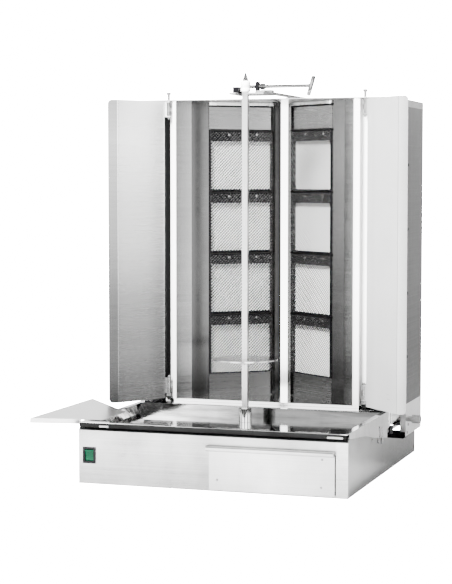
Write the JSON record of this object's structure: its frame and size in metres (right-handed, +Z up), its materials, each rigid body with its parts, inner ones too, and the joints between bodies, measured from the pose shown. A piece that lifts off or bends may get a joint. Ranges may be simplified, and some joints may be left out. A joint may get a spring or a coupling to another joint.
{
  "type": "gas doner kebab grill",
  "caption": "Upright gas grill with two angled columns of ceramic burners, a turning spit with a disc over a drip tray, two hinged heat doors and a base with a drawer.",
  "frame": {"origin": "middle of the underside of the base plate, on the surface that the grill stands on", "axes": "+X to the right of a user who faces the spit, +Y to the back, +Z up along the spit"},
  "size_m": [0.7218, 0.74, 0.86],
  "materials": {
    "stainless": "brushed",
    "bright_stainless": "polished",
    "grey_cover": "satin",
    "black_frame": "matt",
    "burner_box": "heat-stained",
    "ceramic": "porous",
    "gas_pipe": "plain",
    "black_plastic": "matt",
    "green_plastic": "gloss",
    "white_plastic": "matt",
    "rubber": "matt",
    "motor_paint": "satin",
    "bolt_steel": "plated"
  },
  "bodies": {
    "base": {"base_shell": "stainless", "base_floor": "black_frame", "feet": "rubber", "drip_tray": "bright_stainless", "tray_frame": "black_frame", "drawer_runners": "black_frame", "switch_housing": "black_plastic", "gearbox": "motor_paint", "gear_motor": "motor_paint", "motor_bracket": "black_frame", "guide_rods": "bolt_steel", "rod_plates": "black_frame", "meat_shovel": "stainless", "cable_gland": "black_plastic"},
    "drawer": {"drawer_front": "stainless", "drawer_box": "stainless"},
    "rocker": {"switch_rocker": "green_plastic"},
    "spit": {"drive_socket": "bright_stainless", "spit_rod": "bright_stainless", "meat_disc": "bright_stainless", "disc_collar": "bright_stainless", "spit_sleeve": "white_plastic"},
    "left_door": {"left_door": "bright_stainless"},
    "right_door": {"right_door": "bright_stainless"},
    "tap_1": {"tap_lever_1": "black_plastic"},
    "tap_2": {"tap_lever_2": "black_plastic"},
    "tap_3": {"tap_lever_3": "black_plastic"},
    "tap_4": {"tap_lever_4": "black_plastic"},
    "bearing": {"bearing_block": "bright_stainless", "bearing_jaws": "black_frame"},
    "clamp": {"clamp_screw": "bolt_steel", "lock_nut": "bolt_steel"},
    "tower": {"back_cover": "stainless", "centre_post": "bright_stainless", "ceramic_tiles": "ceramic", "feed_pipes": "gas_pipe", "gas_manifold": "gas_pipe", "left_burner_1": "burner_box", "left_burner_2": "burner_box", "left_burner_3": "burner_box", "left_burner_4": "burner_box", "left_burner_frame": "stainless", "left_hinges": "bolt_steel", "left_side_cover": "grey_cover", "left_skirt": "stainless", "left_wing": "bright_stainless", "right_burner_1": "burner_box", "right_burner_2": "burner_box", "right_burner_3": "burner_box", "right_burner_4": "burner_box", "right_burner_frame": "stainless", "right_hinges": "bolt_steel", "right_side_cover": "grey_cover", "right_skirt": "stainless", "right_wing": "bright_stainless", "roof": "stainless", "slide_carriages": "black_frame", "support_arm": "bolt_steel", "tap_bodies": "gas_pipe", "tower_floor": "stainless"}
  },
  "joints": [
    {"name": "drawer_slide", "type": "slide", "parent": "base", "child": "drawer", "axis": [0, -1, 0], "range_m": [0, 0.15]},
    {"name": "rocker_tilt", "type": "hinge", "parent": "base", "child": "rocker", "pos_m": [-0.265, -0.311, 0.06], "axis": [1, 0, 0], "range_deg": [-18, 0]},
    {"name": "spit_spin", "type": "hinge", "parent": "base", "child": "spit", "pos_m": [0, -0.079, 0.1], "axis": [0, 0, 1], "continuous": true},
    {"name": "tower_slide", "type": "slide", "parent": "base", "child": "tower", "axis": [0, -1, 0], "range_m": [-0.025, 0.015]},
    {"name": "left_door_swing", "type": "hinge", "parent": "tower", "child": "left_door", "pos_m": [-0.2276, 0.0632, 0.47], "axis": [0, 0, -1], "range_deg": [-68, 44]},
    {"name": "right_door_swing", "type": "hinge", "parent": "tower", "child": "right_door", "pos_m": [0.2276, 0.0632, 0.47], "axis": [0, 0, 1], "range_deg": [-79, 34]},
    {"name": "tap_1_turn", "type": "hinge", "parent": "tower", "child": "tap_1", "pos_m": [0.31, 0.07, 0.244], "axis": [1, 0, 0], "range_deg": [-90, 0]},
    {"name": "tap_2_turn", "type": "hinge", "parent": "tower", "child": "tap_2", "pos_m": [0.31, 0.07, 0.384], "axis": [1, 0, 0], "range_deg": [-90, 0]},
    {"name": "tap_3_turn", "type": "hinge", "parent": "tower", "child": "tap_3", "pos_m": [0.31, 0.07, 0.524], "axis": [1, 0, 0], "range_deg": [-90, 0]},
    {"name": "tap_4_turn", "type": "hinge", "parent": "tower", "child": "tap_4", "pos_m": [0.31, 0.07, 0.664], "axis": [1, 0, 0], "range_deg": [-90, 0]},
    {"name": "bearing_slide", "type": "slide", "parent": "tower", "child": "bearing", "axis": [0, -1, 0], "range_m": [-0.015, 0.025]},
    {"name": "clamp_turn", "type": "hinge", "parent": "bearing", "child": "clamp", "pos_m": [0.08, -0.079, 0.8295], "axis": [1, 0, 0], "range_deg": [-360, 0]}
  ],
  "couplings": [
    {"joint": "bearing_slide", "follows": "tower_slide", "ratio": -1}
  ]
}
